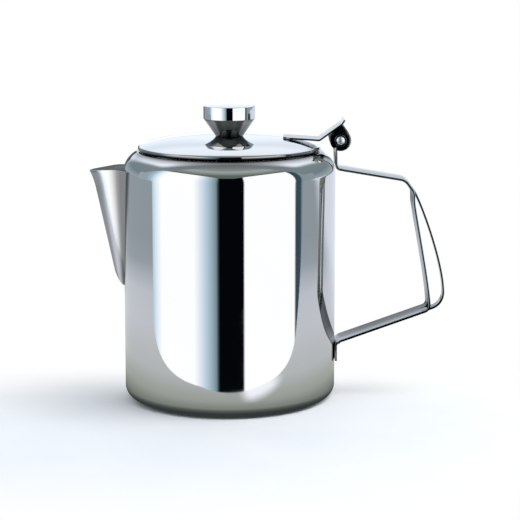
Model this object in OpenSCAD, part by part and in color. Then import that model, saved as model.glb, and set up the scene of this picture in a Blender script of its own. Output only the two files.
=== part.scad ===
// Catering teapot in sheet steel: drawn body, folded spout, slit strip handle and hinged lid.
// Frame: origin at the centre of the base on the table, +Z up, spout towards -X, handle towards +X.

/* [Body] */
// Outer radius of the drawn body
body_r = 59; // [58:0.5:60]
// Thickness of the body, spout and lid sheet
sheet_t = 0.8; // [0.6:0.1:1]
// Height where the straight wall ends and the shoulder starts
wall_top = 126.15; // [124:0.05:128]
// Radius of the shoulder's curve, seen from the side
shoulder_r = 13; // [12:0.5:13.5]
// Angle that the shoulder turns through before the ledge that the lid rests over
shoulder_turn = 62; // [59:1:65]
// Radius of the neck's opening
neck_r = 46; // [44:0.5:47]
// Radius of the rounded bottom edge
bottom_round = 6; // [4:0.5:8]
// Inner radius of the ring that the pot stands on
foot_in = 46; // [40:1:50]
// Height of the raised middle of the base
base_rise = 1.2; // [0.8:0.1:2]
// Depth of the turned-down lip inside the neck
lip_drop = 4; // [3:0.5:6]

/* [Strainer] */
// Radius of one strainer hole
strain_r = 1.6; // [1:0.1:1.8]
// Height of the lowest row of strainer holes
strain_low = 78; // [76:1:82]
// Number of rows of strainer holes
strain_rows = 7; // [4:1:7]
// Distance between strainer holes
strain_pitch = 6; // [5:0.5:7]

/* [Spout] */
// Height of the spout's open rim at the tip
spout_top = 127; // [124:0.5:129]
// Lean of the spout's front edge from upright, in millimetres out per millimetre up
spout_lean = 0.212; // [0.19:0.002:0.23]
// Height where the front edge would meet the wall if it ran straight down
spout_foot = 44.2; // [43:0.2:46]
// Growth of the spout's half width on the wall, per millimetre up
spout_spread = 0.18; // [0.16:0.005:0.2]
// Height where the spout's two seams would meet if they ran straight down
spout_vee = 35; // [34:0.5:37]
// Height of the spout's rounded bottom end
spout_low = 61.5; // [60:0.5:64]
// How far the pouring lip turns outwards at the tip
lip_flare = 1.4; // [0:0.1:2]

/* [Handle] */
// Width of the handle strip
strip_w = 18.5; // [17:0.5:20]
// Thickness of the handle strip
strip_t = 1.2; // [1:0.1:1.4]
// Width of the strip's leaf below the hinge
leaf_w = 14.4; // [13:0.2:14.6]
// Height where the lower arm would meet the wall
arm_low = 30.1; // [28:0.5:33]
// Height of the lower end of the welded tab
tab_low = 20.2; // [18:0.5:23]
// Width of the bowed middle strip of the grip
middle_w = 6.2; // [5:0.2:7]
// Gap between the middle strip and the side strips
slit_gap = 0.4; // [0.3:0.1:0.8]

/* [Lid] */
// Outer radius of the lid's rolled edge
lid_r = 50.7; // [50:0.1:51.2]
// Radius of the bead at the lid's edge
bead_r = 1.45; // [1.2:0.05:1.5]
// Gap between the neck and the lid's bead
lid_gap = 0.35; // [0.3:0.05:0.6]
// Height of the dome above the bead's top
dome_rise = 4.8; // [3.5:0.1:5.5]
// How flat the dome's middle is: 2 is a plain curve, more is flatter with a rounder edge
dome_power = 3.6; // [2.5:0.1:4]

/* [Hinge] */
// Radius of the hinge pin
pin_r = 1.75; // [1.6:0.05:1.9]
// Running clearance round the pin in the barrel
pin_play = 0.05; // [0.03:0.01:0.08]
// Thickness of the hinge bracket's sheet
bracket_t = 1; // [0.8:0.1:1.2]
// Radius of the bracket's ears round the pin
ear_r = 5.9; // [5.5:0.1:6.2]
// Radius of the washers under the pin's heads
washer_r = 3.2; // [2.8:0.1:3.6]

/* [Knob] */
// Radius of the knob's foot on the lid
knob_foot_r = 7.6; // [7:0.2:8.4]
// Radius of the knob's upright band
knob_r = 14.4; // [13:0.2:15]
// Height of the knob
knob_h = 17; // [15:0.5:19]
// Radius of the screw that holds the knob
screw_r = 2; // [1.8:0.1:2.2]

/* [Hidden] */
$fn = 96;
tiny = 0.01;

// Body: the shoulder ends in a flat ledge whose inner edge turns straight down
shoulder_end = [body_r - shoulder_r, wall_top]
    + (shoulder_r - sheet_t / 2) * [cos(shoulder_turn), sin(shoulder_turn)];
ledge_z = shoulder_end[1] + 0.8 * cos(shoulder_turn);
ledge_out = [shoulder_end[0] - 0.8 * sin(shoulder_turn), ledge_z];
neck_top = ledge_z + sheet_t / 2;

// Lid: a shallow dome inside a bead
bead_x = lid_r - bead_r;
bead_z = neck_top + lid_gap + bead_r;
lid_top = bead_z + bead_r + dome_rise;
function dome_at(r) = lid_top - dome_rise * pow(abs(r) / bead_x, dome_power);

// Hinge: the pin lies behind the lid, a little above its edge
pin_x = body_r + 2.4;
pin_z = neck_top + 6.5;
ear_in = leaf_w / 2 + 0.4;
ear_out = ear_in + bracket_t;
washer_t = 0.7;
head_r = 2.3;
head_h = 0.9;

// Handle: corners of the strip's middle line, seen from the side
leaf_top = [pin_x - pin_r - pin_play - strip_t / 2, pin_z];
leaf_low = [body_r + 0.5, wall_top + 2.95];
arm_slope = 0.167;
corner_top = [leaf_low[0] + 37.8, leaf_low[1] - 37.8 * arm_slope];
split = [corner_top[0] + 4.2, corner_top[1] - 5.75];
low_slope = 0.359;
low_at = function(x) arm_low + low_slope * (x - body_r - 0.6);
side_low = [body_r + 53, low_at(body_r + 53)];
side_end = [side_low[0], side_low[1] + 2.9];
middle_low = [body_r + 60.6, low_at(body_r + 60.6)];
middle_end = [middle_low[0], middle_low[1] + 6.4];
arm_end = [body_r + 0.6, arm_low];
join = [side_low[0] - 5, low_at(side_low[0] - 5)];
tab_c = [body_r + strip_t / 2, tab_low + 3];

// Knob: a hollow spun cup with a disc pressed into its mouth
knob_wall = 1;
knob_floor = 1.6;
cone_r = 12.8;
cone_h = 7.7;
step_h = 9.9;
cap_h = 1.2;
cap_gap = 0.02;
plate_r = 6;
plate_t = 0.8;
under_lid = lid_top - sheet_t - 0.03;

// Points of an arc about a centre, from one angle to another
function arc(c, r, a0, a1, n) = [for (i = [0:n]) let(a = a0 + (a1 - a0) * i / n)
    [c[0] + r * cos(a), c[1] + r * sin(a)]];
function unit(v) = v / norm(v);
function reversed(list) = [for (i = [len(list) - 1:-1:0]) list[i]];

// Points of a bend of radius r at the corner b of the line a, b, c
function bend(a, b, c, r, n = 8) =
    let(u = unit(a - b), v = unit(c - b), half = acos(u * v) / 2,
        centre = b + unit(u + v) * r / sin(half),
        from = b + u * r / tan(half) - centre, to = b + v * r / tan(half) - centre,
        a0 = atan2(from[1], from[0]), turn = atan2(to[1], to[0]) - a0,
        a1 = a0 + (turn > 180 ? turn - 360 : turn < -180 ? turn + 360 : turn))
    arc(centre, r, a0, a1, n);

// Points of a smooth curve from a to d, pulled towards b and c
function curve(a, b, c, d, n) = [for (i = [0:n]) let(s = i / n, q = 1 - s)
    q * q * q * a + 3 * q * q * s * b + 3 * q * s * s * c + s * s * s * d];

// Direction of a line of points at point i
function heading(p, i) = unit(p[min(i + 1, len(p) - 1)] - p[max(i - 1, 0)]);
function beside(p, d) = [for (i = [0:len(p) - 1]) let(h = heading(p, i)) p[i] + d * [-h[1], h[0]]];

// Outline of a sheet of thickness t whose middle line is p
function sheet_outline(p, t) = concat(beside(p, -t / 2), reversed(beside(p, t / 2)));
// The same, between points i and j of the line
function part_outline(p, t, i, j) = let(a = beside(p, -t / 2), b = beside(p, t / 2))
    concat([for (k = [i:j]) a[k]], [for (k = [j:-1:i]) b[k]]);

module across(y0, y1) {
    translate([0, y1, 0]) rotate([90, 0, 0]) linear_extrude(y1 - y0) children();
}

module strainer() {
    for (row = [0:strain_rows - 1]) {
        z = strain_low + row * strain_pitch * 0.87;
        reach = spout_spread * (z - spout_vee) - strain_r - 2.2;
        shift = row % 2 == 0 ? 0 : strain_pitch / 2;
        for (k = [-4:4])
            if (abs(k * strain_pitch + shift) < reach)
                translate([-body_r, k * strain_pitch + shift, z]) rotate([0, 90, 0])
                    cylinder(r = strain_r, h = 4 * sheet_t, center = true, $fn = 24);
    }
}

// One drawn shell: standing ring, raised base, straight wall, shoulder, ledge and turned lip
module pot_body() {
    t = sheet_t;
    turn_c = [body_r - bottom_round, bottom_round];
    neck_corner = [neck_r + t / 2, ledge_z];
    lip_end = neck_corner - [0, lip_drop];
    middle = concat(
        [[0, base_rise + t / 2], [foot_in - 2.4, base_rise + t / 2], [foot_in - 2, base_rise + t / 2],
            [foot_in, t / 2], [foot_in + 0.4, t / 2], [turn_c[0] - 0.4, t / 2]],
        arc(turn_c, bottom_round - t / 2, -90, 0, 12),
        arc([body_r - shoulder_r, wall_top], shoulder_r - t / 2, 0, shoulder_turn, 16),
        bend(shoulder_end, ledge_out, neck_corner, 1.6, 4),
        bend(ledge_out, neck_corner, lip_end, 1.2, 8),
        [lip_end]);
    color("gainsboro") difference() {
        rotate_extrude($fn = 180) polygon(sheet_outline(middle, t));
        strainer();
    }
}

// How full the spout is at height z: it rounds off over its last few millimetres
spout_round = 9.5;
function fullness(z) = let(s = max(0, spout_low + spout_round - z) / spout_round)
    sqrt(max(0.0004, 1 - s * s));
function spout_half(z) = spout_spread * (z - spout_vee) * fullness(z);
function spout_out(z) = spout_lean * (z - spout_foot) * fullness(z);
function wall_x(y) = sqrt(body_r * body_r - y * y);

// Share of the way from the nose to the wall at u, which runs from -1 to 1 round the section
nose_share = 0.6;
function nose(u) = (sqrt(1 + pow(u / nose_share, 2)) - 1) / (sqrt(1 + 1 / pow(nose_share, 2)) - 1);
function flare(z, u) = lip_flare * pow(max(0, z - spout_top + 10) / 10, 2) * pow(1 - min(1, abs(u)), 2);
function spout_point(z, u) = let(w = spout_half(z), out = spout_out(z))
    [-(body_r + out + flare(z, u)) + (out + body_r - wall_x(w)) * nose(u), w * u];
function spout_inward(z, u) = let(h = unit(spout_point(z, u + 0.01) - spout_point(z, u - 0.01)))
    [h[1], -h[0]];

// One level of the spout, offset inwards by t and closed inside the body
spout_steps = 20;
seam_over = 1.06;
function spout_ring(z, t) = let(
    side = [for (i = [0:spout_steps]) let(u = seam_over * (2 * i / spout_steps - 1))
        spout_point(z, u) + t * spout_inward(z, u)])
    concat([[8 - body_r, side[0][1]]], side, [[8 - body_r, side[spout_steps][1]]]);

module spout_solid(levels, t) {
    n = spout_steps + 3;
    last = len(levels) - 1;
    points = [for (z = levels) for (p = spout_ring(z, t)) [p[0], p[1], z]];
    walls = [for (k = [0:last - 1]) for (i = [0:n - 1]) let(j = (i + 1) % n)
        each [[k * n + i, k * n + j, (k + 1) * n + j], [k * n + i, (k + 1) * n + j, (k + 1) * n + i]]];
    polyhedron(points, concat(walls, [[for (i = [n - 1:-1:0]) i]],
        [[for (i = [0:n - 1]) last * n + i]]), convexity = 4);
}

// A half cone folded from one sheet, cut to the wall and open at the top
module spout() {
    outer = concat([for (a = [80:-14:10]) spout_low + spout_round * (1 - sin(a))],
        [for (z = [spout_low + spout_round:6:spout_top - 10]) z],
        [for (z = [spout_top - 8:2:spout_top + 6]) z]);
    inner = concat([for (z = [spout_low + 3:1.5:spout_low + spout_round]) z],
        [for (z = [spout_low + spout_round + 2:6:spout_top - 10]) z],
        [for (z = [spout_top - 8:2:spout_top + 8]) z]);
    color("darkgray") difference() {
        spout_solid(outer, 0);
        spout_solid(inner, sheet_t);
        translate([0, 0, spout_low - 5]) cylinder(r = body_r, h = 90, $fn = 180);
        translate([-body_r - 20, -30, spout_top]) rotate([0, -6, 0]) translate([-20, 0, 0])
            cube([70, 60, 20]);
    }
}

// One strip: curled barrel, leaf, upper arm, slit grip, lower arm and the tab on the wall.
// It is built in layers across Y, because only the side strips and the middle strip leave the arms.
module handle_strip() {
    half = strip_w / 2;
    mid = middle_w / 2;
    t = strip_t;
    steep = unit(split - corner_top);
    curl = arc([pin_x, pin_z], pin_r + pin_play + t / 2 - 0.03, -95, 176, 24);
    top = concat(bend(leaf_top, leaf_low, corner_top, 2.4), bend(leaf_low, corner_top, split, 6),
        [split - 1.6 * steep, split - 1.2 * steep]);
    low = concat([join + [1, low_slope], join], bend(join, arm_end, tab_c, 1.8, 5));
    side = concat(top,
        bend(corner_top, split, split + [1.2, -8], 3),
        curve(split + [1, -6.5], split + [2.3, -16], [side_end[0] - 1, side_end[1] + 14], side_end, 16),
        bend(side_end, side_low, arm_end, 4),
        low);
    middle = concat(top,
        curve(split, split + [4.6, -6.3], [middle_end[0], middle_end[1] + 16], middle_end, 20),
        bend(middle_end, middle_low, arm_end, 9),
        low);
    leaf = concat(curl, [leaf_low + [0, 8], leaf_low + [0, 4]], top);
    color("silver") difference() {
        union() {
            across(-leaf_w / 2, leaf_w / 2) polygon(part_outline(leaf, t, 0, len(curl) + 10));
            across(-half, half) polygon(part_outline(leaf, t, len(curl) + 1, len(leaf) - 2));
            across(-mid, mid) polygon(part_outline(middle, t, len(top) - 2, len(middle) - len(low) + 1));
            for (y = [-half, mid + slit_gap])
                across(y, y + half - mid - slit_gap)
                    polygon(part_outline(side, t, len(top) - 2, len(side) - len(low) + 1));
            across(-half, half) polygon(part_outline(low, t, 1, len(low) - 1));
            tab();
        }
        across(-leaf_w, leaf_w) translate([pin_x, pin_z]) circle(r = pin_r + pin_play);
    }
}

// The curved tab at the strip's lower end, which fits the wall
module tab() {
    width = strip_w - 1;
    intersection() {
        translate([0, 0, tab_low]) difference() {
            cylinder(r = body_r + strip_t, h = arm_low - tab_low - 0.2, $fn = 180);
            translate([0, 0, -1]) cylinder(r = body_r, h = 30, $fn = 180);
        }
        translate([body_r - 10, -width / 2, 0]) cube([20, width, 60]);
    }
}

// A domed disc with a bead round its edge and a hole for the knob's screw
module lid_cover() {
    steps = 24;
    hole = screw_r + 0.1;
    rim = bead_x - 0.6;
    radii = [for (i = [0:steps]) hole + (rim - hole) * i / steps];
    top = [for (r = radii) [r, dome_at(r)]];
    under = [for (r = reversed(radii)) [r, dome_at(r) - sheet_t]];
    bead = arc([bead_x, bead_z], bead_r, 100, -190, 24);
    color("gainsboro") rotate_extrude($fn = 180) polygon(concat(top, bead, under));
}

// The tongue lies on the lid at its end and runs straight out over the edge, where the slope starts
tongue_len = 20;
tongue_fall = 1.3;
tongue_x = pin_x - 11.6 - tongue_len;
tongue_start = [tongue_x, dome_at(tongue_x) + bracket_t / 2 + 0.02];
slope_low = tongue_start + [tongue_len, -tongue_fall];
slope_top = [pin_x + 0.8, pin_z + 8.9];
thumb_tip = [pin_x + 2.3, pin_z + 11.2];

// Angle on the pin's circle where a line from p touches it, on one side or the other
function touch(p, side) = let(v = p - [pin_x, pin_z]) atan2(v[1], v[0]) + side * acos(ear_r / norm(v));

// A folded bracket: tongue welded on the lid, slope, thumb piece and two ears
module hinge_bracket() {
    t = bracket_t;
    path = concat([tongue_start], bend(tongue_start, slope_low, slope_top, 1.5),
        bend(slope_low, slope_top, thumb_tip, 2), [thumb_tip]);
    h = unit(slope_top - slope_low);
    ear_left = slope_low + h * 6;
    ear_right = slope_top;
    ear = concat([ear_left, ear_right],
        arc([pin_x, pin_z], ear_r, touch(ear_right, -1), touch(ear_left, 1) - 360, 20));
    color("darkgray") difference() {
        union() {
            across(-ear_out, ear_out) polygon(sheet_outline(path, t));
            across(ear_in, ear_out) polygon(ear);
            across(-ear_out, -ear_in) polygon(ear);
        }
        across(-2 * ear_out, 2 * ear_out) translate([pin_x, pin_z]) circle(r = pin_r + 0.02);
    }
}

// A straight pin with a domed head at each end
module hinge_pin() {
    flat = ear_out + washer_t + 0.02;
    half = [[0, 0], [pin_r, 0], [pin_r, flat], [head_r, flat]];
    dome = [for (a = [0:15:90]) [head_r * cos(a), flat + 0.2 + (head_h - 0.2) * sin(a)]];
    color("whitesmoke") translate([pin_x, 0, pin_z]) for (s = [-90, 90])
        rotate([s, 0, 0]) rotate_extrude($fn = 48) polygon(concat(half, dome));
}

// A washer between each ear and the pin's head
module pin_washers() {
    color("silver") for (y = [-ear_out - washer_t, ear_out])
        difference() {
            across(y, y + washer_t) translate([pin_x, pin_z]) circle(r = washer_r);
            across(y - 1, y + washer_t + 1) translate([pin_x, pin_z]) circle(r = pin_r + 0.03);
        }
}

// A spun cup: foot, flared cone, step and upright band, hollow inside
module knob_shell() {
    w = knob_wall;
    outside = [[knob_foot_r, 0], [cone_r, cone_h], [knob_r, step_h], [knob_r, knob_h - 0.4],
        [knob_r - 0.4, knob_h]];
    inside = [[knob_r - w, knob_h], [knob_r - w, knob_h - cap_h - 0.3],
        [knob_r - w - 0.5, knob_h - cap_h - 0.3], [knob_r - w - 0.5, step_h + 0.4],
        [cone_r - w - 0.3, cone_h + 0.4], [knob_foot_r - w, knob_floor],
        [screw_r + 0.03, knob_floor], [screw_r + 0.03, 0]];
    color("silver") translate([0, 0, lid_top + tiny]) rotate_extrude($fn = 120)
        polygon(concat(outside, inside));
}

// A crowned disc pressed into the cup's mouth
module knob_cap() {
    r = knob_r - knob_wall - cap_gap;
    low = knob_h - cap_h - 0.28;
    crown = [for (i = [0:6]) [r * (1 - i / 6), knob_h + 0.5 * (1 - pow(1 - i / 6, 2))]];
    color("gainsboro") translate([0, 0, lid_top + tiny]) rotate_extrude($fn = 120)
        polygon(concat([[0, low], [r, low]], crown));
}

// A pan-headed screw from inside the knob, down through the lid
module knob_screw() {
    head = knob_floor + 0.02;
    foot = under_lid - lid_top - plate_t - 3.4;
    color("silver") translate([0, 0, lid_top + tiny]) rotate_extrude($fn = 48)
        polygon([[0, foot], [screw_r, foot], [screw_r, head], [3.6, head], [3.6, head + 1.4],
            [2.9, head + 2.2], [0, head + 2.2]]);
}

// A flat washer under the lid
module knob_washer() {
    color("silver") translate([0, 0, under_lid - plate_t]) difference() {
        cylinder(r = plate_r, h = plate_t, $fn = 64);
        translate([0, 0, -1]) cylinder(r = screw_r + 0.1, h = 3, $fn = 48);
    }
}

// The hexagon nut under the washer
module knob_nut() {
    nut_top = under_lid - plate_t - 0.02;
    color("silver") difference() {
        translate([0, 0, nut_top - 3.2]) cylinder(r = 4.04, h = 3.2, $fn = 6);
        translate([0, 0, nut_top - 4]) cylinder(r = screw_r + 0.02, h = 5, $fn = 48);
    }
}

pot_body();
spout();
handle_strip();
lid_cover();
hinge_bracket();
hinge_pin();
pin_washers();
knob_shell();
knob_cap();
knob_screw();
knob_washer();
knob_nut();
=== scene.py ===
# %% [markdown]
# # A catering teapot in sheet steel
# Nearly every piece of this pot is thin polished steel, so its looks are what it mirrors.
# The work is therefore half shapes, smooth enough for clean reflections, and half studio:
# white panels with a dark gap between them, which draw the bands down the body.

# %% Load the fixed frame
import math

import bmesh
import bpy
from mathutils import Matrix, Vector


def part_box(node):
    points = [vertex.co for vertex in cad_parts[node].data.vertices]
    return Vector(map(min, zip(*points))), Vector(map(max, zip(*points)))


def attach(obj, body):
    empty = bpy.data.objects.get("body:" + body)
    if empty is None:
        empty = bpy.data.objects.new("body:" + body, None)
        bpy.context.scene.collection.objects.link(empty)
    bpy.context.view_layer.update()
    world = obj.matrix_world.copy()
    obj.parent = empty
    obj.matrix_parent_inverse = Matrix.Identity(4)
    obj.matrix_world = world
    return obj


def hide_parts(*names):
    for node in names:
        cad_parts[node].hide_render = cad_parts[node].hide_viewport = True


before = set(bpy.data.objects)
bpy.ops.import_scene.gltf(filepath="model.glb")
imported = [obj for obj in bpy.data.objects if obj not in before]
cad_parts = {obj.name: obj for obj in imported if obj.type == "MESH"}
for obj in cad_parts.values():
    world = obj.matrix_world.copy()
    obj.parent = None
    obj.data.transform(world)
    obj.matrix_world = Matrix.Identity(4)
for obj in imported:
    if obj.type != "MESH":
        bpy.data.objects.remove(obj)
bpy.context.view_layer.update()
MM = 0.001

# %% [markdown]
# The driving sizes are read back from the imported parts, so that the looks follow the design.
# Only what a box can't tell, such as the radius of a rounded edge, is written down here.

# %% Sizes from the frame
body_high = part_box("pot_body")[1]
pin_low, pin_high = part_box("hinge_pin")
knob_low, knob_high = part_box("knob_shell")

body_r = body_high.x
neck_top = body_high.z
wall_top = 126.15 * MM
sheet_t = 0.8 * MM
lid_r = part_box("lid_cover")[1].x
pin_x = (pin_low.x + pin_high.x) / 2
pin_z = (pin_low.z + pin_high.z) / 2
pin_r = 1.75 * MM
strip_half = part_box("handle_strip")[1].y
strip_t = 1.2 * MM
step_h = 9.9 * MM
band_low = knob_low.z + step_h
spout_foot = 44.2 * MM
spout_slope = 0.212
cheek_foot = 35 * MM
cheek_slope = 0.18
print("body radius", round(body_r, 4), "neck top", round(neck_top, 4))
print("pin at", round(pin_x, 4), round(pin_z, 4))

# %% [markdown]
# The camera looks along +Y, a little from above, through a long lens. A small shift down
# frames the pot without tilting the camera further, which keeps the upright lines straight.

# %% Camera
def new_object(name, data):
    """A new object, put in the scene."""
    made = bpy.data.objects.new(name, data)
    bpy.context.scene.collection.objects.link(made)
    return made


look_down = 8.83
camera = new_object("camera", bpy.data.cameras.new("camera"))
camera.location = (17.02 * MM, -950 * MM, 253.2 * MM)
camera.rotation_euler = (math.radians(90 - look_down), 0, 0)
camera.data.lens = 119.1
camera.data.sensor_width = 36
camera.data.shift_y = -0.1
camera.data.clip_start = 0.05
camera.data.clip_end = 50
bpy.context.scene.camera = camera
print("lens", round(camera.data.lens, 1), "mm, looking down", look_down, "degrees")

# %% [markdown]
# Small helpers that build node trees keep each material short. `node` adds one node and
# sets its inputs: a value is set, and an output socket is linked.

# %% Node helpers
def feed(tree, socket, value):
    """Links an output socket to an input, or sets the input to a value."""
    if isinstance(value, bpy.types.NodeSocket):
        tree.links.new(value, socket)
    else:
        socket.default_value = value


def node(tree, kind, **inputs):
    """One node. An input goes by its name, with _ for a space, or by i and its number."""
    made = tree.nodes.new(kind)
    for key, value in inputs.items():
        numbered = key[0] == "i" and key[1:].isdigit()
        feed(tree, made.inputs[int(key[1:]) if numbered else key.replace("_", " ")], value)
    return made


def shown(sockets):
    """The sockets that are in use; some nodes hide one for each kind of data."""
    return [socket for socket in sockets if socket.enabled]


def separated(tree, vector):
    """The X, Y and Z of a vector."""
    return node(tree, "ShaderNodeSeparateXYZ", Vector=vector).outputs


def object_place(tree):
    """The place on the piece, in metres, in the frame's own axes."""
    return node(tree, "ShaderNodeTexCoord").outputs["Object"]


def maths(tree, operation, a, b=0.0):
    """The result of a Math node."""
    made = node(tree, "ShaderNodeMath", i0=a, i1=b)
    made.operation = operation
    return made.outputs[0]


def remap(tree, value, from_low, from_high, to_low, to_high, smooth=False):
    """A value carried from one range to another, and held inside it."""
    made = node(tree, "ShaderNodeMapRange", Value=value, From_Min=from_low, From_Max=from_high,
                To_Min=to_low, To_Max=to_high)
    if smooth:
        made.interpolation_type = "SMOOTHSTEP"
    return made.outputs[0]


print("helpers for nodes:", node.__name__, maths.__name__, remap.__name__)

# %% Material helpers
def new_material(name):
    """An empty material and its node tree."""
    material = bpy.data.materials.new(name)
    material.use_nodes = True
    material.node_tree.nodes.clear()
    return material, material.node_tree


def ramp(tree, value, stops):
    """A colour that follows a value: each stop is a place from 0 to 1 and a colour."""
    made = node(tree, "ShaderNodeValToRGB", Fac=value)
    points = made.color_ramp.elements
    while len(points) < len(stops):
        points.new(0.5)
    for point, (place, colour) in zip(points, stops):
        point.position = place
        point.color = (*colour, 1)
    return made.outputs[0]


def blend(tree, share, first, second):
    """The colour first where share is 0, and second where it is 1."""
    made = tree.nodes.new("ShaderNodeMix")
    made.data_type = "RGBA"
    for socket, value in zip(shown(made.inputs), (share, first, second)):
        feed(tree, socket, (*value, 1) if isinstance(value, tuple) else value)
    return shown(made.outputs)[0]


def glow(tree, colour, strength=1.0):
    """A shader that only gives light."""
    return node(tree, "ShaderNodeEmission", Color=colour, Strength=strength).outputs[0]


def close_material(tree, shader):
    """Sends a shader to the material's output."""
    node(tree, "ShaderNodeOutputMaterial", Surface=shader)


print("helpers for materials:", ramp.__name__, blend.__name__, glow.__name__)

# %% [markdown]
# The studio is a white room to the camera. What the steel sees is something else: the world
# gives another brightness to reflected rays, so the pot can stand on white and still be full
# of contrast. Only the world and the stage do this, never a material of the pot.
# A light sheet hangs behind the pot and the ceiling in front of it is a plain grey. All the
# tones are written as they should look in the steel, and one strength makes up for what the
# metal swallows.

# %% World
def display(*levels):
    """A colour given as it looks on a screen, 0 to 255, as the linear values that shaders use."""
    return tuple(c / 255 / 12.92 if c < 11 else ((c / 255 + 0.055) / 1.055) ** 2.4 for c in levels)


bpy.context.scene.view_settings.view_transform = "Standard"
world = bpy.data.worlds.new("studio")
bpy.context.scene.world = world
world.use_nodes = True
sky = world.node_tree
sky.nodes.clear()
toward = node(sky, "ShaderNodeTexCoord").outputs["Generated"]
axes = node(sky, "ShaderNodeSeparateXYZ", Vector=toward)
up = axes.outputs["Z"]
back = axes.outputs["Y"]
steel_tone = 0.72
height = remap(sky, up, -0.2, 1.0, 0.0, 1.0)
backdrop = ramp(sky, height, [
    (0.10, display(246, 248, 251)), (0.20, display(240, 244, 250)), (0.232, display(230, 237, 246)),
    (0.243, display(198, 208, 224)), (0.255, display(223, 231, 242)), (0.33, display(216, 226, 239)),
    (0.45, display(208, 218, 228)), (0.58, display(230, 236, 244)), (0.84, display(228, 234, 242)),
    (0.955, display(160, 168, 170)), (1.0, display(112, 119, 120))])
side_wall = ramp(sky, height, [
    (0.0, display(150, 158, 166)), (0.17, display(146, 156, 163)), (0.34, display(112, 126, 132)),
    (0.65, display(118, 132, 134)), (1.0, display(112, 118, 120))])
ceiling = ramp(sky, up, [
    (0.0, display(70, 74, 72)), (0.5, display(88, 96, 92)), (0.67, display(96, 104, 100)),
    (0.86, display(154, 162, 160)), (0.95, display(124, 131, 130)), (1.0, display(114, 120, 121))])
sideways = maths(sky, "ABSOLUTE", axes.outputs["X"])
aside = maths(sky, "SUBTRACT", sideways, maths(sky, "MULTIPLY", up, 0.55))
behind = blend(sky, remap(sky, aside, 0.20, 0.42, 0.0, 1.0, smooth=True), backdrop, side_wall)
behind = blend(sky, remap(sky, back, 0.06, 0.30, 0.0, 1.0, smooth=True), side_wall, behind)
overall = blend(sky, remap(sky, back, -0.17, -0.13, 0.0, 1.0), ceiling, behind)
ray = node(sky, "ShaderNodeLightPath")
reflected = node(sky, "ShaderNodeBackground", Color=overall, Strength=1 / steel_tone)
white = node(sky, "ShaderNodeBackground", Color=(1, 1, 1, 1), Strength=1.0)
chosen = node(sky, "ShaderNodeMixShader", i0=ray.outputs["Is Camera Ray"], i1=reflected.outputs[0],
              i2=white.outputs[0])
node(sky, "ShaderNodeOutputWorld", Surface=chosen.outputs[0])
print("world strength for reflections", round(1 / steel_tone, 2))

# %% [markdown]
# The light panels stand far off in a half ring in front of the pot, hidden from the camera.
# A bearing of 0 points at the camera. From left to right the ring is grey wall, a wide panel
# that fades out, a black gap where the camera stands, a second panel with a hard edge and a
# slate frame, and grey wall again. A ramp over the bearing paints it all on one mesh, whose
# top edge runs as the straight tops of two big panels would.

# %% Ring of panels
ring_from = -112
ring_to = 104
ring_distance = 2.0
ring_bottom = -0.62
skirt_bottom = -2.6
skirt_to = -12
reflected_only = dict(camera=False, diffuse=False, shadow=False)


def around(bearing, distance, height):
    """A point at a bearing from the pot: 0 is towards the camera, 90 is to the right."""
    a = math.radians(bearing)
    return (distance * math.sin(a), -distance * math.cos(a), height)


def band_faces(verts):
    """The faces of a band whose points come in pairs, a lower and an upper one."""
    return [(i, i + 2, i + 3, i + 1) for i in range(0, len(verts) - 2, 2)]


def stage_mesh(name, verts, faces, material, **visible):
    """A mesh of the studio; visible switches off the kinds of ray that shall not see it."""
    mesh = bpy.data.meshes.new(name)
    mesh.from_pydata(verts, [], faces)
    mesh.materials.append(material)
    made = new_object(name, mesh)
    for kind, on in visible.items():
        setattr(made, "visible_" + kind, on)
    return made


print("ring from", ring_from, "to", ring_to, "degrees, at", ring_distance, "m")

# %% Light on the panels
def bearing_ramp(tree, stops):
    """A ramp over the bearing, from ring_from to ring_to."""
    spot = separated(tree, object_place(tree))
    bearing = maths(tree, "ARCTAN2", spot["X"], maths(tree, "MULTIPLY", spot["Y"], -1.0))
    share = remap(tree, bearing, math.radians(ring_from), math.radians(ring_to), 0.0, 1.0)
    return ramp(tree, share, [((b - ring_from) / (ring_to - ring_from), display(*c)) for b, c in stops])


panel_paint, tree = new_material("panel_paint")
panels = bearing_ramp(tree, [
    (-112, (150, 160, 165)), (-98, (140, 160, 170)), (-91, (160, 186, 202)), (-84, (216, 230, 242)),
    (-76, (255, 255, 255)), (-37, (255, 255, 255)), (-25, (190, 209, 224)), (-17, (146, 168, 180)),
    (-13, (118, 138, 144)), (-11.2, (56, 68, 70)), (-9.6, (4, 5, 9)), (15.8, (4, 5, 9)),
    (16.6, (255, 255, 255)), (74, (255, 255, 255)), (75.5, (48, 66, 76)), (82, (54, 74, 86)),
    (84.5, (130, 143, 152)), (104, (138, 148, 152))])
close_material(tree, glow(tree, panels, 1 / steel_tone))

print("paint", panel_paint.name, "with", len(panel_paint.node_tree.nodes), "nodes")

# %% Shape of the ring
left_panel = -60
right_panel = 58
gap_middle = 3
panel_reach = 52
panel_rise = 0.84
left_fall_from = -88
right_fall_from = 79
eye_height = 0.13
ring_steps = 216


def panel_top(bearing):
    """Height of the ring's upper edge: two flat panels that face the pot from either side."""
    middle = right_panel if bearing > gap_middle else left_panel
    rise = panel_rise * math.cos(math.radians(min(abs(bearing - middle), panel_reach)))
    if bearing < left_fall_from:
        rise = max(0.28, rise - 0.018 * (left_fall_from - bearing))
    if bearing > right_fall_from:
        rise = max(0.3, rise - 0.04 * (bearing - right_fall_from))
    return eye_height + ring_distance * rise


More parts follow.
